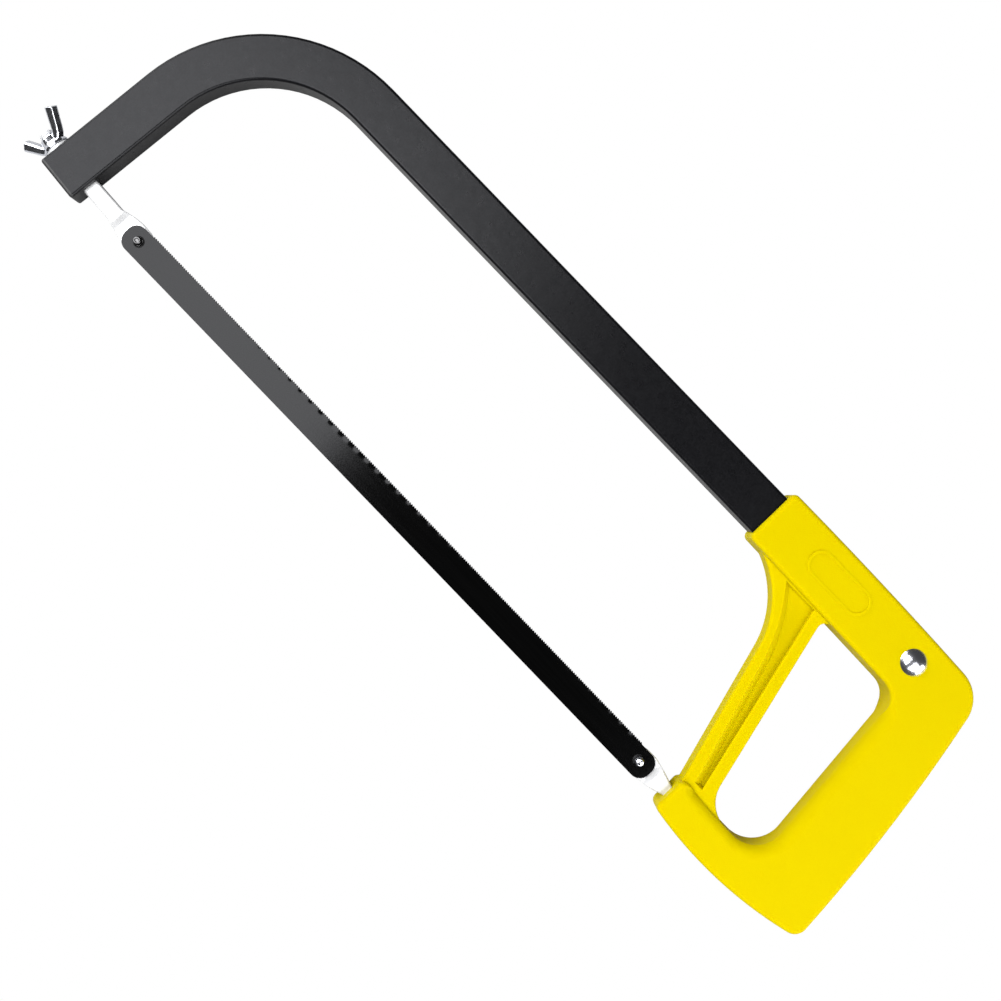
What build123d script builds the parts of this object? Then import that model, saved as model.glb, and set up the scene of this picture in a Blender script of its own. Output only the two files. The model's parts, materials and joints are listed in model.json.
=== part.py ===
from build123d import *
import os
from math import cos, radians, sin, tan

# Hacksaw with a bent rectangular tube frame and a moulded closed handle.
# The saw lies on its side: +X runs from the wing nut to the handle, +Y from
# the blade to the backbone, and +Z is up, through the thickness of the saw.
# While the parts are drawn, the blade lies along Y = 0, the middle plane of the
# saw is Z = 0, and X is measured from a point beside the front blade pin. The
# whole saw is moved to its origin last.

os.makedirs("parts", exist_ok=True)

# Blade, a standard 300 mm one.
BLADE_SPAN = 300.0
BLADE_WIDTH = 12.6
BLADE_THICKNESS = 0.65
BLADE_HOLE = 4.4
BLADE_END = 7.0
BLADE_CORNER = 5.0
TEETH_PER_INCH = 24
TOOTH_DEPTH = 0.6
TOOTHLESS_END = 9.0

# Blade pins and the flat paddles behind the blade.
FRONT_PIN = -1.3
PIN_DIAMETER = 3.4
PIN_ABOVE_BLADE = 2.4
PIN_CLEARANCE = 0.02
PADDLE_WIDTH = 11.8
PADDLE_FACE = -0.36
SHANK = 7.0
FOLD_RUN = 2.1

# Frame tube, wider in the plane of the saw than across it.
TUBE_WIDTH = 20.1
TUBE_THICKNESS = 14.0
TUBE_WALL = 1.25
TUBE_EDGE = 1.3
BACKBONE_TOP = 119.5
TUBE_REAR_END = 362.0
ARM_LEAN = 5.0
ARM_FOOT = (-41.3, -5.0)
BEND_OUTSIDE = 75.2
BEND_INSIDE = 52.5
PLUG_HEAD = 1.5
PLUG_DEPTH = 2.0
PLUG_ROUND = 1.1
PLUG_CLEARANCE = 0.05

# Draw bolt, its axis rising slightly towards the wing nut.
BOLT_TILT = 2.8
BOLT_OFFSET = 0.2
BOLT_DIAMETER = 6.0
BOLT_END = 60.8
BOLT_SQUARE_END = 47.0
BOLT_FOLD = 13.6
BOLT_HOLE = 6.6
SLOT_CLEARANCE = 0.25

# Washer and wing nut.
WASHER_DIAMETER = 11.4
WASHER_THICKNESS = 1.4
TOUCH = 0.01
NUT_GAP = 0.05
NUT_BASE_DIAMETER = 11.6
NUT_TOP_DIAMETER = 8.2
NUT_COLLAR = 1.5
NUT_HEIGHT = 6.2
NUT_BORE = 6.1
NUT_TURN = 38.0
WING_THICKNESS = 4.2
WING_OUTER_TIP = (14.3, 11.3)
WING_INNER_TIP = (10.7, 13.7)
WING_HEEL = (7.4, 1.2)
WING_CROOK = (4.6, 4.8)

# Handle.
HANDLE_THICKNESS = 20.0
HANDLE_EDGE = 2.0
SLEEVE_MOUTH = 262.8
SLEEVE_TOP = 123.2
SLEEVE_BOTTOM = 96.9
OPENING_TOP = 95.3
GRIP_EDGE = 5.5
RIB_EDGE = 1.2
TUBE_FIT = 0.05
BLOCK_FRONT = 315.5
OPENING_BOTTOM = 7.0
OPENING_REAR = 352.8
RIB_THICKNESS = 12.0
RIB_POCKET = 3.0
BADGE_CENTRE = (302.0, 110.2)
BADGE_LENGTH = 32.8
BADGE_WIDTH = 12.0
BADGE_RIM = 1.2
BADGE_RISE = 0.3

# Rear blade holder, moulded into the handle.
HOLDER_FOLD = 308.6
HOLDER_SHANK = 5.2
HOLDER_END = 332.0
HOLDER_HEAD = 11.0
HOLDER_HEAD_LENGTH = 5.0

# Rivet through the handle and the tube.
RIVET_PLACE = (346.6, 109.65)
RIVET_DOME = 11.4
RIVET_RISE = 2.4
RIVET_SHANK = 6.0
COUNTERBORE = 14.0
COUNTERBORE_DEPTH = 2.4
BURR_WASHER = 12.6

HALF_TUBE = TUBE_THICKNESS / 2
HALF_HANDLE = HANDLE_THICKNESS / 2
BACKBONE_BOTTOM = BACKBONE_TOP - TUBE_WIDTH
PIN_SLACK = (BLADE_HOLE - PIN_DIAMETER) / 2
REAR_PIN = FRONT_PIN + BLADE_SPAN + 2 * (PIN_SLACK - PIN_CLEARANCE)
ARM_SLOPE = tan(radians(ARM_LEAN))


def round_corner(face, corner, radius):
    """Round the corner of a flat face that is nearest to a point."""
    vertex = face.vertices().sort_by_distance(corner)[0]
    return fillet(vertex, radius)


def slab(face, low, high):
    """Extrude a flat face from one height to another."""
    return Pos(0, 0, low) * extrude(face, high - low)


def disc(x, y, diameter, low, high):
    """Upright cylinder between two heights."""
    return slab(Pos(x, y) * Circle(diameter / 2), low, high)


def long_edges(solid, height, shortest):
    """Edges in one horizontal plane that are longer than a limit."""
    level = solid.edges().filter_by(lambda e: abs(e.center().Z - height) < 0.01)
    return level.filter_by(lambda e: e.length > shortest)


# Frame tube -----------------------------------------------------------------

def arm_point(across, along):
    """Point in the arm: across it from its centre line, and up along it."""
    lean = radians(ARM_LEAN)
    x = ARM_FOOT[0] + across * cos(lean) + along * sin(lean)
    y = ARM_FOOT[1] - across * sin(lean) + along * cos(lean)
    return (x, y)


def tube_outline(inset, overrun):
    """Side outline of the bent tube, shrunk by an inset and run on at its ends."""
    half = TUBE_WIDTH / 2 - inset
    top = BACKBONE_TOP - inset
    bottom = BACKBONE_BOTTOM + inset
    outer_foot = arm_point(-half, -overrun)
    inner_foot = arm_point(half, -overrun)
    outer_corner = (outer_foot[0] + (top - outer_foot[1]) * ARM_SLOPE, top)
    inner_corner = (inner_foot[0] + (bottom - inner_foot[1]) * ARM_SLOPE, bottom)
    rear = TUBE_REAR_END + overrun
    points = [outer_foot, outer_corner, (rear, top), (rear, bottom), inner_corner, inner_foot]
    face = make_face(Polyline(points, close=True))
    face = round_corner(face, outer_corner, BEND_OUTSIDE - inset)
    return round_corner(face, inner_corner, BEND_INSIDE + inset)


def along_bolt(shape):
    """Turn a shape drawn along the X axis onto the axis of the draw bolt."""
    return Pos(0, BOLT_OFFSET, 0) * Rot(0, 0, -BOLT_TILT) * shape


def make_frame_tube():
    shell = slab(tube_outline(0, 0), -HALF_TUBE, HALF_TUBE)
    rims = long_edges(shell, HALF_TUBE, TUBE_WIDTH + 1)
    rims += long_edges(shell, -HALF_TUBE, TUBE_WIDTH + 1)
    shell = fillet(rims, TUBE_EDGE)
    half_bore = HALF_TUBE - TUBE_WALL
    shell -= slab(tube_outline(TUBE_WALL, 5), -half_bore, half_bore)
    opening = SHANK + 2 * SLOT_CLEARANCE
    shell -= along_bolt(Pos(-33, 0, 0) * Box(14, opening, opening))
    bolt_hole = Pos(-52, 0, 0) * Rot(0, 90, 0) * Cylinder(BOLT_HOLE / 2, 12)
    shell -= along_bolt(bolt_hole)
    shell -= disc(*RIVET_PLACE, RIVET_SHANK, -HALF_HANDLE, HALF_HANDLE)
    return shell


def make_tube_end_plug():
    lean = Rot(0, 0, -ARM_LEAN)
    head = Box(TUBE_WIDTH, PLUG_HEAD, TUBE_THICKNESS)
    head = fillet(head.edges().filter_by(Axis.Y), TUBE_EDGE)
    head = fillet(head.faces().sort_by(Axis.Y)[0].edges(), PLUG_ROUND)
    inset = 2 * (TUBE_WALL + PLUG_CLEARANCE)
    spigot = Box(TUBE_WIDTH - inset, PLUG_DEPTH, TUBE_THICKNESS - inset)
    plug = Pos(0, -PLUG_HEAD / 2, 0) * head + Pos(0, PLUG_DEPTH / 2, 0) * spigot
    return Pos(*ARM_FOOT, 0) * lean * plug


# Draw bolt, washer and wing nut ---------------------------------------------

def shank_side(start, fold, end):
    """Side profile that steps down from the square shank to the thin paddle."""
    half = SHANK / 2
    points = [(start, -half), (start, half), (fold, half)]
    points += [(fold + FOLD_RUN, PADDLE_FACE), (end, PADDLE_FACE), (end, -half)]
    profile = make_face(Polyline(points, close=True))
    return Rot(90, 0, 0) * extrude(profile, 10, both=True)


def shank_plan(start, half, shoulder, bulge, paddle_start, pin_x):
    """Plan of a shank that swells in a curve into a round-ended paddle at its pin."""
    wide = PADDLE_WIDTH / 2
    edge = Polyline([(pin_x, wide), (paddle_start, wide)])
    edge += ThreePointArc((paddle_start, wide), bulge, (shoulder, half))
    edge += Polyline([(shoulder, half), (start, half), (start, 0), (pin_x, 0), (pin_x, wide)])
    plan = make_face(edge)
    plan += mirror(plan, Plane.XZ)
    plan += Pos(pin_x, 0) * Circle(wide)
    return slab(plan, -SHANK, SHANK)


def make_draw_bolt():
    side = shank_side(-BOLT_SQUARE_END, -BOLT_FOLD, PADDLE_WIDTH)
    plan = shank_plan(-BOLT_SQUARE_END, SHANK / 2, -14.8, (-10.4, 5.05), -5.6, FRONT_PIN)
    bar = side & plan
    threaded = BOLT_END - BOLT_SQUARE_END
    screw = Rot(0, 90, 0) * Cylinder(BOLT_DIAMETER / 2, threaded)
    screw = chamfer(screw.edges().sort_by(Axis.X)[0], 0.6)
    bar += Pos(-BOLT_SQUARE_END - threaded / 2, 0, 0) * screw
    return along_bolt(bar) - disc(FRONT_PIN, 0, PIN_DIAMETER, -SHANK, SHANK)


def make_pin(x):
    pin = disc(x, 0, PIN_DIAMETER, -SHANK / 2, BLADE_THICKNESS / 2 + PIN_ABOVE_BLADE)
    return chamfer(pin.edges().sort_by(Axis.Z)[-1], 0.35)


def washer_seat():
    """Where the bolt axis leaves the outer wall of the arm."""
    foot = arm_point(-TUBE_WIDTH / 2, 0)
    tilt = tan(radians(BOLT_TILT))
    x = (foot[0] + (BOLT_OFFSET - foot[1]) * ARM_SLOPE) / (1 + tilt * ARM_SLOPE)
    return (x, BOLT_OFFSET - x * tilt)


def make_tension_washer():
    ring = Cylinder(WASHER_DIAMETER / 2, WASHER_THICKNESS)
    ring = fillet(ring.edges(), 0.25)
    ring -= Cylinder(BOLT_HOLE / 2, 2 * WASHER_THICKNESS)
    ring = Pos(-WASHER_THICKNESS / 2 - TOUCH, 0, 0) * Rot(0, 90, 0) * ring
    return Pos(*washer_seat(), 0) * Rot(0, 0, -ARM_LEAN) * ring


def wing():
    """One wing: a flat bar that leaves the hub and leans out to a square tip."""
    points = [(1.0, 0.6), (6.2, 0.6), WING_HEEL, WING_OUTER_TIP, WING_INNER_TIP]
    points += [WING_CROOK, (1.0, 4.8)]
    profile = make_face(Polyline(points, close=True))
    profile = round_corner(profile, WING_OUTER_TIP, 0.8)
    profile = round_corner(profile, WING_INNER_TIP, 0.8)
    plate = slab(profile, -WING_THICKNESS / 2, WING_THICKNESS / 2)
    return fillet(long_edges(plate, WING_THICKNESS / 2, 0.1), 0.7)


def make_wing_nut():
    base = NUT_BASE_DIAMETER / 2
    top = NUT_TOP_DIAMETER / 2
    hub_side = [(0, 0), (base, 0), (base, NUT_COLLAR), (top + 0.6, NUT_COLLAR + 0.8)]
    hub_side += [(top, NUT_HEIGHT), (0, NUT_HEIGHT)]
    section = make_face(Polyline(hub_side, close=True))
    hub = revolve(Rot(90, 0, 0) * section, Axis.Z)
    one = Rot(90, 0, 0) * wing()
    nut = hub + one + Rot(0, 0, 180) * one
    nut -= Cylinder(NUT_BORE / 2, 40)
    nut = Rot(0, 0, 90 - NUT_TURN) * nut
    wedge = tan(radians(ARM_LEAN - BOLT_TILT)) * base
    seat = washer_seat()[0] / cos(radians(BOLT_TILT)) - WASHER_THICKNESS - wedge
    return along_bolt(Pos(seat - NUT_GAP, 0, 0) * Rot(0, -90, 0) * nut)


# Blade ----------------------------------------------------------------------

def tooth_line(first, last, root, tip):
    """Row of raked saw teeth from one end of the blade to the other."""
    pitch = 25.4 / TEETH_PER_INCH
    count = int((last - first) / pitch)
    points = []
    for tooth in range(count):
        x = first + tooth * pitch
        points.append((x, root))
        points.append((x + 0.15 * pitch, tip))
    points.append((first + count * pitch, root))
    return points


def make_blade():
    half = BLADE_WIDTH / 2
    front_hole = FRONT_PIN + PIN_SLACK - PIN_CLEARANCE
    rear_hole = front_hole + BLADE_SPAN
    first = front_hole - BLADE_END
    last = rear_hole + BLADE_END
    teeth = tooth_line(first + TOOTHLESS_END, last - TOOTHLESS_END, half - TOOTH_DEPTH, half)
    points = [(first, -half), (first, half - TOOTH_DEPTH)] + teeth
    points += [(last, half - TOOTH_DEPTH), (last, -half)]
    side = make_face(Polyline(points, close=True))
    for corner in [points[0], points[1], points[-2], points[-1]]:
        side = round_corner(side, corner, BLADE_CORNER)
    strip = slab(side, -BLADE_THICKNESS / 2, BLADE_THICKNESS / 2)
    for hole in (front_hole, rear_hole):
        strip -= disc(hole, 0, BLADE_HOLE, -1, 1)
    return strip


# Handle and what is in it ---------------------------------------------------

def grip_outline():
    """Outline of the full-thickness part: sleeve, grip and lower block."""
    mouth_low = (SLEEVE_MOUTH, SLEEVE_BOTTOM)
    mouth_high = (SLEEVE_MOUTH, SLEEVE_TOP)
    opening_high = (OPENING_REAR, OPENING_TOP)
    opening_low = (362.2, OPENING_BOTTOM)
    block_rear = (333.0, OPENING_BOTTOM)
    block_top = (BLOCK_FRONT, 8.8)
    block_low = (BLOCK_FRONT, -7.9)
    heel = (395.5, -3.2)
    crown = (376.3, 121.1)
    edge = Polyline([mouth_low, opening_high, opening_low, block_rear, block_top])
    edge += ThreePointArc(block_top, (BLOCK_FRONT + 0.5, 0.5), block_low)
    edge += ThreePointArc(block_low, (345.0, -10.4), heel)
    edge += ThreePointArc(heel, (389.2, 54.8), crown)
    edge += ThreePointArc(crown, (320.0, 122.9), mouth_high)
    edge += Line(mouth_high, mouth_low)
    face = make_face(edge)
    rounds = [(opening_high, 10), (opening_low, 14), (block_low, 3.2), (block_top, 3.0)]
    rounds += [(heel, 6), (crown, 15.5), (mouth_high, 2.5), (mouth_low, 2.5)]
    for corner, radius in rounds:
        face = round_corner(face, corner, radius)
    return face


def sleeve_under(x):
    """Height of the sleeve's underside, which falls slightly towards the grip."""
    run = (x - SLEEVE_MOUTH) / (OPENING_REAR - SLEEVE_MOUTH)
    return SLEEVE_BOTTOM + run * (OPENING_TOP - SLEEVE_BOTTOM)


def softening_plate():
    """Plate with a softly rounded hole, which rounds the grip inside the opening.

    Its hole follows the grip and the top of the lower block, and stands clear of
    the sleeve and the rib, so that the rounding fades out towards them.
    """
    top = OPENING_TOP - GRIP_EDGE
    corners = [(338.0, top), (353.4, top), (362.2, OPENING_BOTTOM), (320.5, 8.4)]
    hole = make_face(Polyline(corners, close=True))
    for corner, radius in zip(corners, (4, 6, 14, 3)):
        hole = round_corner(hole, corner, radius)
    plate = slab(Pos(325, 55) * Rectangle(200, 200), 0, HALF_HANDLE) - slab(hole, -1, 20)
    rim = plate.edges().filter_by(lambda e: abs(e.center().Z - HALF_HANDLE) < 0.01)
    rim = rim.filter_by(lambda e: 335 < e.center().X < 364 and 6 < e.center().Y < 96)
    return fillet(rim, GRIP_EDGE)


def rib_outline():
    """Outline of the slanting front rib, with its swept gusset at the top."""
    gusset_start = (298.9, 68.3)
    gusset_middle = (288.2, 86.4)
    gusset_end = (271.5, sleeve_under(271.5))
    hidden_top = SLEEVE_BOTTOM + 2.1
    rear_top = (308.9, sleeve_under(308.9))
    hidden_rear = (320, sleeve_under(320))
    rear_low = (331.9, OPENING_BOTTOM)
    edge = ThreePointArc(gusset_end, gusset_middle, gusset_start)
    edge += Polyline([gusset_start, (316.5, 7), (317, 0), (350, 0), (350, OPENING_BOTTOM),
                      rear_low, rear_top, hidden_rear, (320, hidden_top),
                      (271.5, hidden_top), gusset_end])
    face = make_face(edge)
    face = round_corner(face, rear_low, 14)
    return round_corner(face, rear_top, 3.5)


def pocket_level(left, right, low, high, height):
    """One level of the rib's hollow: a long strip that widens towards the sleeve."""
    shoulder = (left - 16.7, 66.0)
    bend = (left - 23.6, 81.6)
    edge = Line((left, low), shoulder)
    edge += ThreePointArc(shoulder, bend, (left - 33.8, high))
    edge += Polyline([(left - 33.8, high), (right - 21.2, high), (right, low), (left, low)])
    return Pos(0, 0, height) * make_face(edge)


def rib_pocket(side):
    """Hollow in one side of the rib, with a sloping front wall and a steep rear one."""
    half = RIB_THICKNESS / 2
    mouth = pocket_level(320.2, 325.0, 10.6, 95.8, half + 0.3)
    floor = pocket_level(323.6, 324.9, 12.0, 95.2, half - RIB_POCKET)
    hollow = loft([floor, mouth], ruled=True)
    return hollow if side > 0 else mirror(hollow, Plane.XY)


def make_rib():
    half = RIB_THICKNESS / 2
    rib = slab(rib_outline(), -half, half)
    rims = long_edges(rib, half, 0.1) + long_edges(rib, -half, 0.1)
    rims = rims.filter_by(lambda e: e.center().Y > 7 and e.center().Y < OPENING_TOP - 1)
    rib = fillet(rims, RIB_EDGE)
    return rib - rib_pocket(1) - rib_pocket(-1)


def make_badge():
    """Plain raised rim on the side of the sleeve."""
    rim = SlotOverall(BADGE_LENGTH, BADGE_WIDTH)
    rim -= SlotOverall(BADGE_LENGTH - 2 * BADGE_RIM, BADGE_WIDTH - 2 * BADGE_RIM)
    rim = Pos(*BADGE_CENTRE) * rim
    return slab(rim, HALF_HANDLE - 0.2, HALF_HANDLE + BADGE_RISE)


def holder_cavity():
    """Space in the lower block that the anchor of the blade holder fills."""
    shank = Pos((BLOCK_FRONT + HOLDER_END) / 2 - 5, 0, 0) * Box(30, HOLDER_SHANK, SHANK)
    head_x = HOLDER_END - HOLDER_HEAD_LENGTH / 2
    return shank + Pos(head_x, 0, 0) * Box(HOLDER_HEAD_LENGTH, HOLDER_HEAD, HOLDER_HEAD)


def make_handle():
    body = slab(grip_outline(), -HALF_HANDLE, HALF_HANDLE)
    rims = long_edges(body, HALF_HANDLE, 0.1) + long_edges(body, -HALF_HANDLE, 0.1)
    body = fillet(rims, HANDLE_EDGE)
    plate = softening_plate()
    body &= plate + mirror(plate, Plane.XY)
    body += make_rib()
    body += make_badge()
    low = BACKBONE_BOTTOM - TUBE_FIT
    high = BACKBONE_TOP + TUBE_FIT
    length = TUBE_REAR_END - SLEEVE_MOUTH + 20
    tube_space = Box(length, high - low, TUBE_THICKNESS + 2 * TUBE_FIT)
    body -= Pos(TUBE_REAR_END + 0.1 - length / 2, (low + high) / 2, 0) * tube_space
    body -= holder_cavity()
    body -= disc(*RIVET_PLACE, RIVET_SHANK, -2 * HALF_HANDLE, 2 * HALF_HANDLE)
    recess = COUNTERBORE_DEPTH - HALF_HANDLE
    return body - disc(*RIVET_PLACE, COUNTERBORE, -2 * HALF_HANDLE, recess)


def make_rear_blade_holder():
    side = Rot(0, 0, 180) * shank_side(-HOLDER_END, -HOLDER_FOLD, PADDLE_WIDTH - REAR_PIN)
    plan = shank_plan(HOLDER_END, HOLDER_SHANK / 2, 315.8, (309.9, 4.5), 303.8, REAR_PIN)
    holder = side & plan
    head_x = HOLDER_END - HOLDER_HEAD_LENGTH / 2
    holder += Pos(head_x, 0, 0) * Box(HOLDER_HEAD_LENGTH, HOLDER_HEAD, HOLDER_HEAD)
    return holder - disc(REAR_PIN, 0, PIN_DIAMETER, -SHANK, SHANK)


def make_handle_rivet():
    x, y = RIVET_PLACE
    radius = (RIVET_DOME ** 2 / 4 + RIVET_RISE ** 2) / (2 * RIVET_RISE)
    ball = Pos(0, 0, HALF_HANDLE + RIVET_RISE - radius) * Sphere(radius)
    head = ball & slab(Circle(RIVET_DOME / 2), HALF_HANDLE, HALF_HANDLE + RIVET_RISE + 1)
    shank = slab(Circle(RIVET_SHANK / 2), 1.4 - HALF_HANDLE, HALF_HANDLE)
    clinch = slab(Circle(RIVET_SHANK / 2 + 1.4), 0.6 - HALF_HANDLE, 1.4 - HALF_HANDLE)
    rivet = head + shank + fillet(clinch.edges().sort_by(Axis.Z)[0], 0.5)
    rivet -= slab(Circle(1.9), -HALF_HANDLE, 6 - HALF_HANDLE)
    return Pos(x, y, 0) * rivet


def make_rivet_washer():
    ring = Circle(BURR_WASHER / 2) - Circle(RIVET_SHANK / 2)
    seat = COUNTERBORE_DEPTH - HALF_HANDLE
    return Pos(*RIVET_PLACE, 0) * slab(ring, seat - 1.0, seat)


parts = {
    "frame_tube": make_frame_tube(),
    "tube_end_plug": make_tube_end_plug(),
    "draw_bolt": make_draw_bolt(),
    "front_blade_pin": make_pin(FRONT_PIN),
    "tension_washer": make_tension_washer(),
    "wing_nut": make_wing_nut(),
    "blade": make_blade(),
    "rear_blade_holder": make_rear_blade_holder(),
    "rear_blade_pin": make_pin(REAR_PIN),
    "handle": make_handle(),
    "handle_rivet": make_handle_rivet(),
    "rivet_washer": make_rivet_washer(),
}

# The origin is under the middle of the saw, on the surface that it lies on.
whole = Compound(list(parts.values())).bounding_box()
middle = whole.center()
to_origin = Pos(-middle.X, -middle.Y, -whole.min.Z)
print("origin offset", round(middle.X, 3), round(middle.Y, 3), round(-whole.min.Z, 3))
print("size", [round(value, 2) for value in whole.size])

for name, shape in parts.items():
    export_step(to_origin * shape, f"parts/{name}.step")
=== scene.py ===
"""Hacksaw lying on its side on a pale floor, seen from straight above."""

import json
import math

import bmesh
import bpy
from mathutils import Matrix, Vector


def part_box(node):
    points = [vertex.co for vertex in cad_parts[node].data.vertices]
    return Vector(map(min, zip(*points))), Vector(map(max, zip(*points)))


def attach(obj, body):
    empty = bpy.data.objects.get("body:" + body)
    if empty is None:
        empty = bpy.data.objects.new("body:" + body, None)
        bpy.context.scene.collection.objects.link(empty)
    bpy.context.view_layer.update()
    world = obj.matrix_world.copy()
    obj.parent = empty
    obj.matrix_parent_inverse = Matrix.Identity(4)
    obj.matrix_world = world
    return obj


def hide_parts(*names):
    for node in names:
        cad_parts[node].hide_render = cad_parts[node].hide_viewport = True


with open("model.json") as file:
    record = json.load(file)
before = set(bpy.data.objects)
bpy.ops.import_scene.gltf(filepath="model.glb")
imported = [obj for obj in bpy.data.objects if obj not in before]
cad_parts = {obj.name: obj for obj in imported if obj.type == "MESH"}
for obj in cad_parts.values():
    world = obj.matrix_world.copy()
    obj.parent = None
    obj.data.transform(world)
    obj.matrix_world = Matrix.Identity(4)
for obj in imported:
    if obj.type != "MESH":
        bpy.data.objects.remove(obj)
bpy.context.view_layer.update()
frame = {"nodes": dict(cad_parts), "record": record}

# One millimetre, and the height of the saw's middle plane, in metres.
MM = 0.001
SAW_MIDDLE = 0.010
# Radius in mm of the tiny flat that closes a turned shape on its axis.
AXIS_FLAT = 0.02


# Materials ------------------------------------------------------------------

class Shader:
    """A Principled material with short helpers for its procedural nodes."""

    def __init__(self, name, metallic=0.0):
        self.material = bpy.data.materials.new(name)
        self.material.use_nodes = True
        self.tree = self.material.node_tree
        self.surface = self.tree.nodes["Principled BSDF"]
        self.set("Metallic", metallic)
        self.place = self.tree.nodes.new("ShaderNodeTexCoord").outputs["Object"]

    def set(self, socket, value):
        self.surface.inputs[socket].default_value = value

    def link(self, output, node, socket):
        self.tree.links.new(output, node.inputs[socket])

    def noise(self, scale, detail=4.0, stretch=(1, 1, 1), roughness=0.5):
        """Noise of a scale in cycles per metre, stretched along the axes."""
        mapping = self.tree.nodes.new("ShaderNodeMapping")
        mapping.inputs["Scale"].default_value = stretch
        self.link(self.place, mapping, "Vector")
        node = self.tree.nodes.new("ShaderNodeTexNoise")
        node.inputs["Scale"].default_value = scale
        node.inputs["Detail"].default_value = detail
        node.inputs["Roughness"].default_value = roughness
        self.link(mapping.outputs["Vector"], node, "Vector")
        return node.outputs["Fac"]

    def remap(self, factor, source=(0.0, 1.0), target=(0.0, 1.0)):
        """A factor with its source range spread over the target range."""
        node = self.tree.nodes.new("ShaderNodeMapRange")
        for socket, value in zip(("From Min", "From Max", "To Min", "To Max"), source + target):
            node.inputs[socket].default_value = value
        self.link(factor, node, "Value")
        return node.outputs["Result"]

    def blend_color(self, factor, first, second):
        """Mix of two colours, each a tuple or an output, by a factor."""
        node = self.tree.nodes.new("ShaderNodeMix")
        node.data_type = "RGBA"
        self.link(factor, node, 0)
        for socket, value in ((6, first), (7, second)):
            if isinstance(value, tuple):
                node.inputs[socket].default_value = (*value, 1.0)
            else:
                self.link(value, node, socket)
        return node.outputs[2]

    def color(self, value):
        """Base colour from an output, or one plain colour."""
        if isinstance(value, tuple):
            self.set("Base Color", (*value, 1.0))
        else:
            self.link(value, self.surface, "Base Color")

    def vary_roughness(self, factor, low, high):
        self.link(self.remap(factor, target=(low, high)), self.surface, "Roughness")

    def bump(self, *layers):
        """Add bump layers, each a height output and its depth in metres."""
        normal = None
        for height, depth in layers:
            node = self.tree.nodes.new("ShaderNodeBump")
            node.inputs["Distance"].default_value = depth
            self.link(height, node, "Height")
            if normal is not None:
                self.link(normal, node, "Normal")
            normal = node.outputs["Normal"]
        self.link(normal, self.surface, "Normal")


def yellow_plastic():
    """Moulded plastic with a fine grain, lit a little from inside."""
    shader = Shader("handle_yellow")
    cloud = shader.noise(24.0, 3.0)
    grain = shader.remap(shader.noise(1100.0, 3.0, roughness=0.65), source=(0.3, 0.7))
    body = shader.blend_color(cloud, (0.55, 0.438, 0.0), (0.57, 0.458, 0.0))
    pits = shader.blend_color(cloud, (0.535, 0.423, 0.0), (0.555, 0.443, 0.0))
    shader.color(shader.blend_color(grain, pits, body))
    shader.vary_roughness(grain, 0.42, 0.56)
    shader.bump((grain, 0.00002), (shader.noise(160.0, 2.0), 0.0001))
    shader.set("Specular IOR Level", 0.1)
    shader.set("Specular Tint", (1.0, 0.82, 0.0, 1.0))
    shader.set("Subsurface Weight", 0.6)
    shader.set("Subsurface Radius", (1.0, 0.8, 0.15))
    shader.set("Subsurface Scale", 0.003)
    return shader.material


def tube_coat():
    """Satin black powder coat with its fine orange peel."""
    shader = Shader("tube_coat")
    speckle = shader.remap(shader.noise(1500.0, 3.0), source=(0.35, 0.75))
    shader.color(shader.blend_color(speckle, (0.0015, 0.0015, 0.002), (0.005, 0.005, 0.006)))
    shader.vary_roughness(shader.noise(320.0), 0.24, 0.34)
    shader.bump((shader.noise(1900.0, 3.0), 0.00002), (shader.noise(240.0, 2.0), 0.00004))
    shader.set("Specular IOR Level", 0.19)
    shader.set("Specular Tint", (0.95, 0.96, 1.0, 1.0))
    return shader.material


def blade_steel():
    """Black oxide under lacquer, with rolling streaks along the blade."""
    shader = Shader("blade_steel")
    streaks = shader.noise(60.0, stretch=(0.6, 14.0, 1.0))
    shader.color(shader.blend_color(streaks, (0.0005, 0.0005, 0.0005), (0.0015, 0.0015, 0.0015)))
    shader.vary_roughness(streaks, 0.09, 0.14)
    shader.bump((streaks, 0.000005), (shader.noise(1500.0, 3.0), 0.000005))
    shader.set("Specular IOR Level", 0.19)
    shader.set("Specular Tint", (0.95, 0.96, 1.0, 1.0))
    return shader.material


def bright_steel():
    """Bright plating over a cast skin."""
    shader = Shader("bright_steel", metallic=1.0)
    cloud = shader.noise(380.0)
    shader.color(shader.blend_color(cloud, (0.74, 0.76, 0.83), (0.88, 0.90, 0.95)))
    shader.vary_roughness(cloud, 0.08, 0.2)
    shader.bump((shader.noise(420.0, 3.0), 0.00005))
    return shader.material


def pin_steel():
    """Dark bare steel of a hardened pin."""
    shader = Shader("pin_steel", metallic=1.0)
    cloud = shader.noise(900.0)
    shader.color(shader.blend_color(cloud, (0.05, 0.05, 0.05), (0.15, 0.15, 0.155)))
    shader.vary_roughness(cloud, 0.18, 0.32)
    shader.bump((shader.noise(1200.0, 3.0), 0.00002))
    return shader.material


def zinc():
    """Pale zinc plate over a forged skin."""
    shader = Shader("zinc", metallic=0.2)
    cloud = shader.noise(320.0)
    shader.color(shader.blend_color(cloud, (0.70, 0.705, 0.715), (0.74, 0.745, 0.755)))
    shader.vary_roughness(cloud, 0.24, 0.36)
    shader.bump((shader.noise(500.0, 3.0), 0.00003))
    return shader.material


def rivet_chrome():
    """Bright nickel plate with faint scuffs."""
    shader = Shader("rivet_chrome", metallic=1.0)
    scuffs = shader.noise(500.0, 5.0, (1.0, 6.0, 1.0))
    shader.color((0.80, 0.81, 0.88))
    shader.vary_roughness(scuffs, 0.16, 0.26)
    shader.bump((scuffs, 0.00001))
    return shader.material


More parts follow.
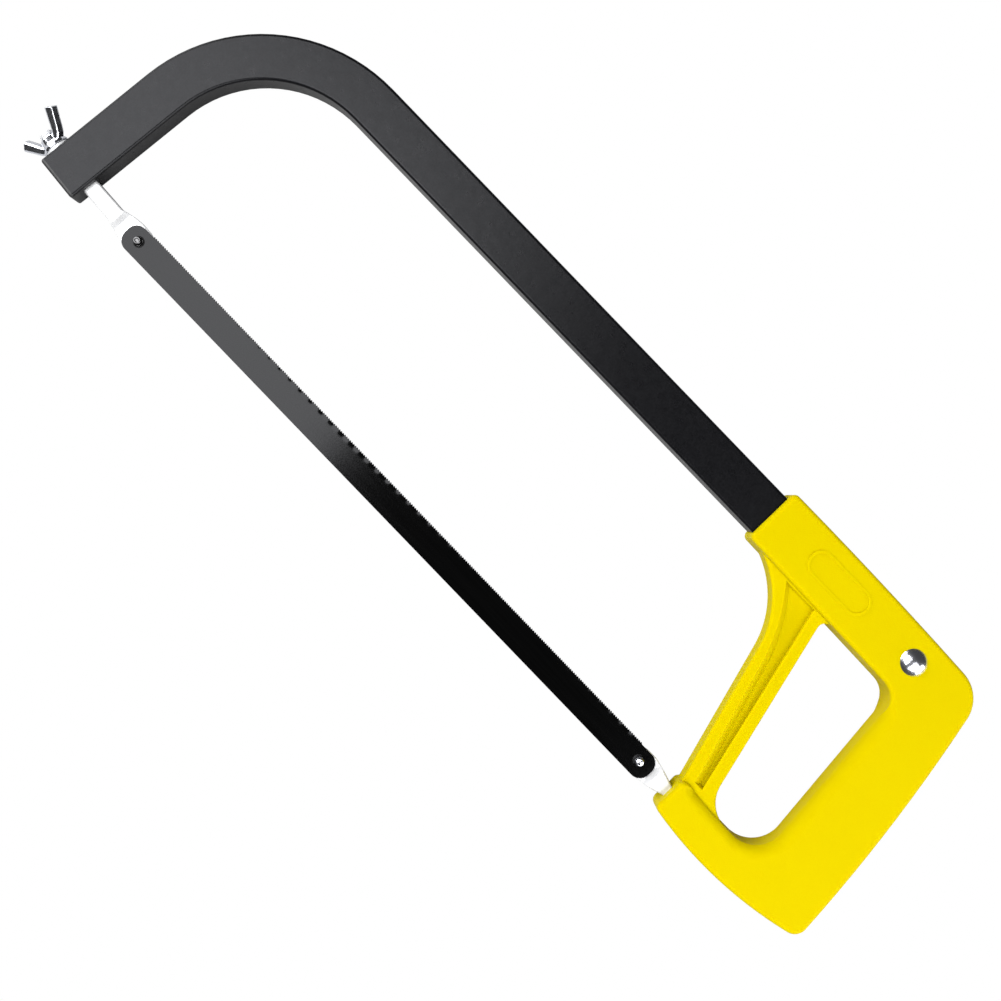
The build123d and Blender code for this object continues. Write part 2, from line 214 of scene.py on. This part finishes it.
def plug_black():
    """Satin black of the tube's end plug, and of the painted shade ring round each blade pin."""
    shader = Shader("plug_black")
    shader.color((0.012, 0.012, 0.013))
    shader.vary_roughness(shader.noise(400.0, 3.0), 0.42, 0.58)
    shader.bump((shader.noise(2200.0, 2.0), 0.00002))
    return shader.material


def make_materials():
    """One material for each slot in the record, and two more steel finishes."""
    return {
        "handle_yellow": yellow_plastic(),
        "tube_coat": tube_coat(),
        "zinc": zinc(),
        "blade_steel": blade_steel(),
        "rivet_chrome": rivet_chrome(),
        "plug_black": plug_black(),
        "bright_steel": bright_steel(),
        "pin_steel": pin_steel(),
    }


def paint_cad_nodes():
    """Give every CAD node the material of its slot in the record."""
    for row in frame["record"]["subparts"]:
        node = frame["nodes"][row["node"]]
        for slot in node.material_slots:
            slot.material = PAINT[row["material_slot"]]


# Helpers --------------------------------------------------------------------

def node_middle(node):
    """Middle of a CAD node's box, in metres."""
    return [(bottom + top) / 2 for bottom, top in zip(*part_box(node))]


def node_size(node):
    """Length, width and height of a CAD node's box, in mm."""
    return [(top - bottom) / MM for bottom, top in zip(*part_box(node))]


def joint_row(name):
    rows = frame["record"]["behaviour"]["joints"]
    return next(row for row in rows if row["name"] == name)


def smooth_step(value):
    value = max(0.0, min(1.0, value))
    return value * value * (3 - 2 * value)


def arc(centre, radius, start, end, steps):
    """Points along an arc, by angles in degrees."""
    points = []
    for step in range(steps + 1):
        angle = math.radians(start + (end - start) * step / steps)
        x = centre[0] + radius * math.cos(angle)
        points.append((x, centre[1] + radius * math.sin(angle)))
    return points


def rounded_box_ring(half_width, low, high, corner, steps=5):
    """Closed outline of a rounded rectangle: pairs of (sideways, height) in mm."""
    corner = min(corner, half_width * 0.98, (high - low) * 0.49)
    side = half_width - corner
    ring = []
    centres = [(side, high - corner), (-side, high - corner), (-side, low + corner), (side, low + corner)]
    for quarter, centre in enumerate(centres):
        ring += arc(centre, corner, 90 * quarter, 90 * quarter + 90, steps)
    return ring


def lathe(profile, steps=64):
    """Rings of a turned shape about Z, through (radius, height) points in mm."""
    rings = []
    for radius, height in profile:
        ring = []
        for step in range(steps):
            angle = 2 * math.pi * step / steps
            ring.append((radius * math.cos(angle) * MM, radius * math.sin(angle) * MM, height * MM))
        rings.append(ring)
    return rings


def skin_rings(rings, joined=False):
    """Points and faces through closed rings, capped at both ends or joined last to first."""
    count = len(rings[0])
    points = [point for ring in rings for point in ring]
    faces = []
    for row in range(len(rings) - (0 if joined else 1)):
        low = row * count
        high = (row + 1) % len(rings) * count
        for step in range(count):
            after = (step + 1) % count
            faces.append((low + step, low + after, high + after, high + step))
    if not joined:
        faces.append(tuple(reversed(range(count))))
        faces.append(tuple(range(len(points) - count, len(points))))
    return points, faces


def shifted(points, place, flip=1):
    """Points moved to a place, after turning them over about X if flip is -1."""
    x, y, z = place
    return [(x + a, y + flip * b, z + flip * c) for a, b, c in points]


def mesh_from(name, *parts):
    """One mesh out of parts, each a list of points and one of faces."""
    points = []
    faces = []
    for part_points, part_faces in parts:
        start = len(points)
        points += [tuple(point) for point in part_points]
        faces += [tuple(start + index for index in face) for face in part_faces]
    mesh = bpy.data.meshes.new(name)
    mesh.from_pydata(points, [], faces)
    mesh.update()
    return mesh


def add_piece(mesh, paint, body, slot, *nodes):
    """Smooth piece named after its mesh, riding a body in place of CAD nodes."""
    for polygon in mesh.polygons:
        polygon.use_smooth = True
    mesh.materials.append(PAINT[paint])
    piece = bpy.data.objects.new(mesh.name, mesh)
    bpy.context.scene.collection.objects.link(piece)
    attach(piece, body)
    if nodes:
        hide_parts(*nodes)
    return piece


def modify(piece, kind, **settings):
    added = piece.modifiers.new(kind.lower(), kind)
    for key, value in settings.items():
        setattr(added, key, value)


# Blade: sizes in mm ---------------------------------------------------------

# A tooth's tip leans by a share of the pitch.
TEETH_PER_INCH = 24
TOOTH_DEPTH = 0.6
TOOTH_LEAN = 0.15
HOLE_FROM_END = 7.0
HOLE_RADIUS = 2.2
COLLAR_RADIUS = 2.7
END_CORNER = 5.0
TOOTHLESS_END = 10.0
EDGE_BEVEL = 0.08
# The wavy set of the teeth: its length, reach and depth below the tips, the
# teeth over which it grows, and the mesh rows below the tips that carry it.
SET_PERIOD = 6.2
SET_REACH = 0.15
SET_DEPTH = 2.6
SET_GROWTH = 6
SET_ROWS = [3.4, 2.6, 2.1, 1.7, 1.3, 0.9]


def set_wave(x, y, tip):
    """Sideways wave of the toothed edge, fading towards the blade's middle."""
    fade = smooth_step((y - (tip - SET_DEPTH)) / SET_DEPTH)
    return SET_REACH * fade * math.sin(2 * math.pi * x / SET_PERIOD)


def blade_end(sheet, half, seam, levels, outward, hole_x):
    """Flat rounded end of the blade, from the seam out, round its pin hole."""
    corner_x = hole_x + outward * (HOLE_FROM_END - END_CORNER)
    low = arc((corner_x, END_CORNER - half), END_CORNER, 270, 270 + 90 * outward, 10)
    high = arc((corner_x, levels[-1] - END_CORNER), END_CORNER, 90 - 90 * outward, 90, 10)
    outline = [(seam, y) for y in reversed(levels)] + low + high
    collar = arc((hole_x, 0), COLLAR_RADIUS, 0, 360, 40)[:-1]
    rim = arc((hole_x, 0), HOLE_RADIUS, 0, 360, 40)[:-1]
    loops = [[sheet.verts.new((x, y, 0.0)) for x, y in loop] for loop in (outline, collar, rim)]
    edges = []
    for corners in loops[:2]:
        for first, second in zip(corners, corners[1:] + corners[:1]):
            edges.append(sheet.edges.new((first, second)))
    bmesh.ops.triangle_fill(sheet, use_beauty=True, use_dissolve=False, edges=edges)
    outer, inner = loops[1:]
    for step in range(len(rim)):
        sheet.faces.new((outer[step - 1], outer[step], inner[step], inner[step - 1]))


def blade_sheet(length, half):
    """Middle surface of the blade: two flat ends and the waved teeth between."""
    sheet = bmesh.new()
    pitch = 25.4 / TEETH_PER_INCH
    seam = TOOTHLESS_END - length / 2
    count = int((length - 2 * TOOTHLESS_END) / pitch)
    levels = [-half] + [half - below for below in SET_ROWS] + [half - TOOTH_DEPTH]
    rows = []
    for tooth in range(count + 1):
        x = seam + tooth * pitch
        fade = smooth_step(min(tooth, count - tooth) / SET_GROWTH)
        row = [sheet.verts.new((x, y, fade * set_wave(x, y, half))) for y in levels]
        rows.append((x, fade, row))
    for (x, fade, row), (_, _, after) in zip(rows, rows[1:]):
        for low, high, low_after, high_after in zip(row, row[1:], after, after[1:]):
            sheet.faces.new((low, low_after, high_after, high))
        tip_x = x + TOOTH_LEAN * pitch
        tip = sheet.verts.new((tip_x, half, fade * set_wave(tip_x, half, half)))
        sheet.faces.new((row[-1], after[-1], tip))
    hole_x = length / 2 - HOLE_FROM_END
    blade_end(sheet, half, seam, levels, -1, -hole_x)
    blade_end(sheet, half, seam + count * pitch, levels, 1, hole_x)
    bmesh.ops.remove_doubles(sheet, verts=sheet.verts, dist=0.001)
    bmesh.ops.recalc_face_normals(sheet, faces=sheet.faces)
    return sheet


def make_blade():
    length, width, thickness = node_size("blade")
    sheet = blade_sheet(length, width / 2)
    bmesh.ops.scale(sheet, vec=(MM, MM, MM), verts=sheet.verts)
    bmesh.ops.translate(sheet, vec=node_middle("blade"), verts=sheet.verts)
    mesh = bpy.data.meshes.new("saw_blade")
    sheet.to_mesh(mesh)
    sheet.free()
    blade = add_piece(mesh, "blade_steel", "blade_body", "blade_steel", "blade")
    modify(blade, "SOLIDIFY", thickness=thickness * MM, offset=0.0)
    modify(blade, "BEVEL", width=EDGE_BEVEL * MM, segments=2, limit_method="ANGLE", angle_limit=1.1)
    modify(blade, "WEIGHTED_NORMAL", weight=100)


def make_hole_lips():
    """Punched rims of the blade's two holes, on both sides."""
    length, _, thickness = node_size("blade")
    x, y, z = node_middle("blade")
    profile = [(2.12, -0.05), (2.12, 0.07), (2.3, 0.09), (2.46, 0.03), (2.5, -0.05)]
    points, faces = skin_rings(lathe(profile, 48), joined=True)
    parts = []
    for end in (-1, 1):
        hole_x = x + end * (length / 2 - HOLE_FROM_END) * MM
        for side in (-1, 1):
            place = (hole_x, y, z + side * thickness / 2 * MM)
            parts.append((shifted(points, place, side), faces))
    add_piece(mesh_from("blade_hole_lips", *parts), "blade_steel", "blade_body", "blade_steel")


# Blade pins -----------------------------------------------------------------

def make_pin(node, body, paint):
    """Blade pin with a turned chamfer and a slightly dished top."""
    x, y, _ = node_middle(node)
    width, _, height = node_size(node)
    radius = width / 2
    profile = [(radius, 0), (radius, height - 0.5), (radius - 0.12, height - 0.2)]
    profile += [(radius - 0.4, height), (radius - 0.75, height - 0.02)]
    profile += [(radius - 0.95, height - 0.18), (0.5, height - 0.24), (AXIS_FLAT, height - 0.16)]
    points, faces = skin_rings(lathe(profile))
    moved = shifted(points, (x, y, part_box(node)[0][2]))
    add_piece(mesh_from(node + "_turned", (moved, faces)), paint, body, "zinc", node)


def make_painted_pin_shade(node, body):
    """Thin dark ring on the paddle around a riveted pin, painted shade that darkens the gap between the pin
    and the blade's hole.
    """
    x, y, _ = node_middle(node)
    profile = [(1.72, -0.385), (1.72, -0.345), (2.5, -0.34), (2.85, -0.35), (3.0, -0.385)]
    points, faces = skin_rings(lathe(profile, 48), joined=True)
    moved = shifted(points, (x, y, SAW_MIDDLE))
    add_piece(mesh_from(node + "_painted_shade", (moved, faces)), "plug_black", body, "plug_black")


def make_pins():
    rows = [("front_blade_pin", "draw_bolt_body", "pin_steel"), ("rear_blade_pin", "frame", "bright_steel")]
    for node, body, paint in rows:
        make_pin(node, body, paint)
        # A thin dark ring of painted shade goes round each pin, under the blade.
        make_painted_pin_shade(node, body)


# Wing nut: sizes in mm, heights from its seat -------------------------------

NUT_TURN = math.radians(38.0)
HUB = [
    (3.05, 0.0), (5.5, 0.0), (5.8, 0.25), (5.8, 1.2), (5.5, 1.6), (5.0, 1.9),
    (4.7, 2.6), (4.45, 3.8), (4.2, 5.0), (3.95, 5.7), (3.5, 6.0), (3.05, 6.0),
]
# Middle of a wing, as (radius, height), and its width at each point.
WING_PATH = [(2.6, 2.4), (4.6, 2.7), (6.2, 3.9), (7.7, 5.8), (9.3, 8.1), (10.8, 10.15), (12.24, 12.1)]
WING_WIDTHS = [3.4, 3.6, 3.8, 4.0, 4.2, 4.4, 4.5]
WING_THICKNESS = 4.2
WING_CORNER = 1.2


def nut_frame():
    """Matrix from the nut's own axes to the row frame: wing, across, axis."""
    joint = joint_row("wing_nut_spin")
    axis = Vector(joint["axis"]).normalized()
    up = Vector((0, 0, 1))
    side = axis.cross(up)
    side *= -1 if side.y < 0 else 1
    wing = math.cos(NUT_TURN) * side + math.sin(NUT_TURN) * up
    matrix = Matrix((wing, axis.cross(wing), axis)).transposed().to_4x4()
    matrix.translation = Vector(joint["pos_m"])
    return matrix


def wing_bar(side):
    """One wing: a rounded bar swept along its leaning path."""
    rings = []
    for index, (radius, height) in enumerate(WING_PATH):
        before = WING_PATH[max(index - 1, 0)]
        after = WING_PATH[min(index + 1, len(WING_PATH) - 1)]
        run = Vector((after[0] - before[0], after[1] - before[1])).normalized()
        half = WING_WIDTHS[index] / 2
        ring = []
        for across, along in rounded_box_ring(WING_THICKNESS / 2, -half, half, WING_CORNER):
            x = side * (radius - run.y * along)
            ring.append((x * MM, side * across * MM, (height + run.x * along) * MM))
        rings.append(ring)
    return skin_rings(rings)


def make_wing_nut():
    """Hub and wings grown together into one soft casting."""
    mesh = mesh_from("wing_nut_cast", skin_rings(lathe(HUB), joined=True), wing_bar(1), wing_bar(-1))
    mesh.transform(nut_frame())
    nut = add_piece(mesh, "bright_steel", "wing_nut_body", "zinc", "wing_nut")
    voxel = 0.14
    modify(nut, "REMESH", mode="VOXEL", voxel_size=voxel * MM, use_smooth_shade=True)
    modify(nut, "SMOOTH", factor=0.5, iterations=4)


# Draw bolt and rear holder: sizes in mm -------------------------------------

NUT_TO_ORIGIN = 52.45
HALF_SHANK = 3.5
SHANK_CORNER = 1.0
PADDLE_HALF = 5.9
PADDLE_FACE = -0.36
PADDLE_CORNER = 0.6
HOLDER_SHANK = 2.6
HOLDER_HEAD = 5.4
THREAD_RADIUS = 3.0
THREAD_PITCH = 1.0
THREAD_DEPTH = 0.5
THREAD_TAPER = 0.7
# Half width of each paddle at three distances from its pin, and the distance
# where its flat face has risen to the shank, over the length of the fold.
BOLT_BULGE = [(4.3, PADDLE_HALF), (9.1, 5.05), (13.5, HALF_SHANK)]
HOLDER_BULGE = [(4.2, PADDLE_HALF), (10.3, 4.5), (16.2, HOLDER_SHANK)]
BOLT_FOLD = 12.3
HOLDER_FOLD = 9.0
FOLD_RUN = 2.1


def threaded_end(start, end, matrix):
    """Rolled thread along X with a tapered tip."""
    steps = 48
    rows = int((end - start) / THREAD_PITCH * 12)
    rings = []
    for row in range(rows + 1):
        x = start + (end - start) * row / rows
        ring = []
        for step in range(steps):
            angle = 2 * math.pi * step / steps
            phase = (x / THREAD_PITCH + step / steps) % 1.0
            ridge = smooth_step(1 - abs(2 * phase - 1))
            groove = THREAD_DEPTH * (1 - ridge)
            reach = THREAD_RADIUS - max(groove, THREAD_TAPER - (end - x))
            point = (x * MM, reach * math.cos(angle) * MM, reach * math.sin(angle) * MM)
            ring.append(matrix @ Vector(point))
        rings.append(ring)
    return skin_rings(rings)


def forged_bar(stations, matrix):
    """Loft of rounded sections: each (x, half width, low, high, corner)."""
    rings = []
    for x, half, low, high, corner in stations:
        ring = []
        for across, height in rounded_box_ring(half, low, high, corner):
            ring.append(matrix @ Vector((x * MM, across * MM, height * MM)))
        rings.append(ring)
    return skin_rings(rings)


def bulge_half(x, points):
    """Half width at a distance, on the parabola through three points."""
    total = 0.0
    for here, (px, value) in enumerate(points):
        share = value
        for other, (qx, _) in enumerate(points):
            if other != here:
                share *= (x - qx) / (px - qx)
        total += share
    return total


def paddle_stations(bulge, fold):
    """Sections of a paddle, from its round tip past its pin to the shank."""
    stations = []
    for step in range(10):
        angle = math.radians(3 + 87 * step / 9)
        x = -PADDLE_HALF * math.cos(angle)
        half = PADDLE_HALF * math.sin(angle)
        stations.append((x, half, -HALF_SHANK, PADDLE_FACE, PADDLE_CORNER))
    first = bulge[0][0]
    last = bulge[-1][0]
    for step in range(25):
        x = first + (last - first) * step / 24
        rise = max(0.0, min(1.0, (x - fold + FOLD_RUN) / FOLD_RUN))
        high = PADDLE_FACE + (HALF_SHANK - PADDLE_FACE) * rise
        corner = PADDLE_CORNER + (SHANK_CORNER - PADDLE_CORNER) * rise
        stations.append((x, bulge_half(x, bulge), -HALF_SHANK, high, corner))
    return stations


def make_draw_bolt():
    """Square bar with a paddle at one end and a rolled thread at the other."""
    joint = joint_row("wing_nut_spin")
    outward = Vector(joint["axis"]).normalized()
    up = Vector((0, 0, 1))
    matrix = Matrix((outward, up.cross(outward), up)).transposed().to_4x4()
    matrix.translation = Vector(joint["pos_m"]) - outward * NUT_TO_ORIGIN * MM
    pin_x, pin_y, _ = node_middle("front_blade_pin")
    start = (matrix.inverted() @ Vector((pin_x, pin_y, SAW_MIDDLE))).x / MM
    stations = paddle_stations(BOLT_BULGE, BOLT_FOLD)
    stations += [(x, HALF_SHANK, -HALF_SHANK, HALF_SHANK, SHANK_CORNER) for x in (13.9, 24.0, 45.7)]
    bar = forged_bar([(start + x, *section) for x, *section in stations], matrix)
    mesh = mesh_from("draw_bolt_forged", bar, threaded_end(46.0, 60.8, matrix))
    bolt = add_piece(mesh, "zinc", "draw_bolt_body", "zinc", "draw_bolt")
    modify(bolt, "WEIGHTED_NORMAL")


def make_rear_holder():
    """The same paddle on a narrow shank, with a square head in the handle."""
    pin_x, pin_y, _ = node_middle("rear_blade_pin")
    stations = paddle_stations(HOLDER_BULGE, HOLDER_FOLD)
    stations += [(x, HOLDER_SHANK, -HALF_SHANK, HALF_SHANK, 0.8) for x in (16.6, 27.3)]
    stations += [(x, HOLDER_HEAD, -HOLDER_HEAD, HOLDER_HEAD, 0.5) for x in (27.5, 32.3)]
    bar = forged_bar(stations, Matrix.Translation((pin_x, pin_y, SAW_MIDDLE)))
    mesh = mesh_from("rear_holder_forged", bar)
    holder = add_piece(mesh, "zinc", "frame", "zinc", "rear_blade_holder")
    modify(holder, "WEIGHTED_NORMAL")


# Rivet: sizes in mm, heights from the saw's middle plane --------------------

RIVET_SINK = 0.02
RIVET_SHANK = [
    (AXIS_FLAT, -4.0), (1.9, -4.0), (1.9, -9.2), (2.4, -9.4), (3.6, -9.3),
    (4.3, -9.0), (4.2, -8.65), (3.0, -8.6), (3.0, 10.0),
]


def make_rivet():
    """Domed rivet, clinched over its washer, its head's rim sunk by a hair."""
    x, y, _ = node_middle("handle_rivet")
    head = node_size("handle_rivet")[0] / 2
    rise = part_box("handle_rivet")[1][2] / MM - 2 * SAW_MIDDLE / MM
    sphere = (head ** 2 + rise ** 2) / (2 * rise)
    face = SAW_MIDDLE / MM
    profile = RIVET_SHANK + [(head, face)]
    for step in range(25):
        radius = head * math.cos(math.pi / 2 * step / 24)
        height = face + RIVET_SINK + rise - sphere + math.sqrt(sphere ** 2 - radius ** 2)
        profile.append((max(radius, AXIS_FLAT), height))
    points, faces = skin_rings(lathe(profile, 72))
    moved = shifted(points, (x, y, SAW_MIDDLE - RIVET_SINK * MM))
    mesh = mesh_from("rivet_turned", (moved, faces))
    rivet = add_piece(mesh, "rivet_chrome", "frame", "rivet_chrome", "handle_rivet")
    modify(rivet, "WEIGHTED_NORMAL")


PAINT = make_materials()
paint_cad_nodes()
make_blade()
make_hole_lips()
make_pins()
make_wing_nut()
make_draw_bolt()
make_rear_holder()
make_rivet()


# Floor, lights and camera ---------------------------------------------------

# Point of the floor under the camera, and the camera's height above the saw's
# middle plane, in metres. The camera is turned so that the saw lies slanted.
AIM = Vector((0.01676, -0.0227, 0.0))
CAMERA_HEIGHT = 0.604
ROLL = math.radians(46.06)
# Lens and sensor width in mm.
LENS = 52.1335
SENSOR = 36.0
SOFTBOX_HEIGHT = 1.1
FILL_SIZE = (1.2, 0.6)


def make_floor():
    """Wide white sweep: a matt floor that the camera sees lit up to white."""
    bpy.ops.mesh.primitive_plane_add(size=12.0, location=(0, 0, -0.0002))
    floor = bpy.context.object
    floor.name = "floor"
    paint = Shader("floor_paint")
    paint.color((0.34, 0.34, 0.34))
    paint.set("Roughness", 0.9)
    paint.set("Specular IOR Level", 0.0)
    nodes = paint.tree.nodes
    glow = nodes.new("ShaderNodeEmission")
    rays = nodes.new("ShaderNodeLightPath")
    mix = nodes.new("ShaderNodeMixShader")
    paint.link(rays.outputs["Is Camera Ray"], mix, 0)
    paint.link(paint.surface.outputs[0], mix, 1)
    paint.link(glow.outputs[0], mix, 2)
    paint.link(mix.outputs[0], nodes["Material Output"], "Surface")
    floor.data.materials.append(paint.material)


def area_light(name, place, size, radiance):
    """Rectangular light facing down, at a place measured from the aim point."""
    data = bpy.data.lights.new(name, "AREA")
    data.shape = "RECTANGLE"
    data.size, data.size_y = size
    data.energy = radiance * math.pi * size[0] * size[1]
    light = bpy.data.objects.new(name, data)
    bpy.context.scene.collection.objects.link(light)
    light.location = AIM + Vector(place)
    light.visible_camera = False
    return light


def softbox(name, low, high, radiance):
    """Softbox over the rectangle between two corners beside the saw."""
    size = (high[0] - low[0], high[1] - low[1])
    middle = ((low[0] + high[0]) / 2, (low[1] + high[1]) / 2, SOFTBOX_HEIGHT)
    area_light(name, middle, size, radiance)


def low_fill(name, place, radiance):
    """Panel beside the saw that faces it, for the walls that the softboxes miss."""
    light = area_light(name, place, FILL_SIZE, radiance)
    light.rotation_euler = Vector(place).to_track_quat("Z", "Y").to_euler()


def make_world():
    """Dim surroundings that the camera itself sees as white."""
    world = bpy.data.worlds.new("studio")
    world.use_nodes = True
    tree = world.node_tree
    background = tree.nodes["Background"]
    background.inputs["Color"].default_value = (1, 1, 1, 1)
    rays = tree.nodes.new("ShaderNodeLightPath")
    strength = tree.nodes.new("ShaderNodeMapRange")
    strength.inputs["To Min"].default_value = 0.05
    strength.inputs["To Max"].default_value = 1.0
    tree.links.new(rays.outputs["Is Camera Ray"], strength.inputs["Value"])
    tree.links.new(strength.outputs["Result"], background.inputs["Strength"])
    bpy.context.scene.world = world


def make_lights():
    low_fill("rear_fill", (1.5, 0.1, 0.5), 5.0)
    low_fill("front_fill", (-1.3, -0.1, 0.45), 6.5)
    softbox("left_box", (-1.15, -0.75), (-0.175, 0.28), 6.6)
    softbox("right_box", (0.42, -1.0), (1.6, 0.24), 5.4)
    make_world()


def make_camera():
    data = bpy.data.cameras.new("camera")
    data.sensor_width = SENSOR
    data.lens = LENS
    data.clip_start = 0.01
    camera = bpy.data.objects.new("camera", data)
    bpy.context.scene.collection.objects.link(camera)
    camera.location = AIM + Vector((0, 0, CAMERA_HEIGHT + SAW_MIDDLE))
    camera.rotation_euler = (0, 0, ROLL)
    bpy.context.scene.camera = camera
    bpy.context.scene.view_settings.view_transform = "Standard"


make_floor()
make_lights()
make_camera()
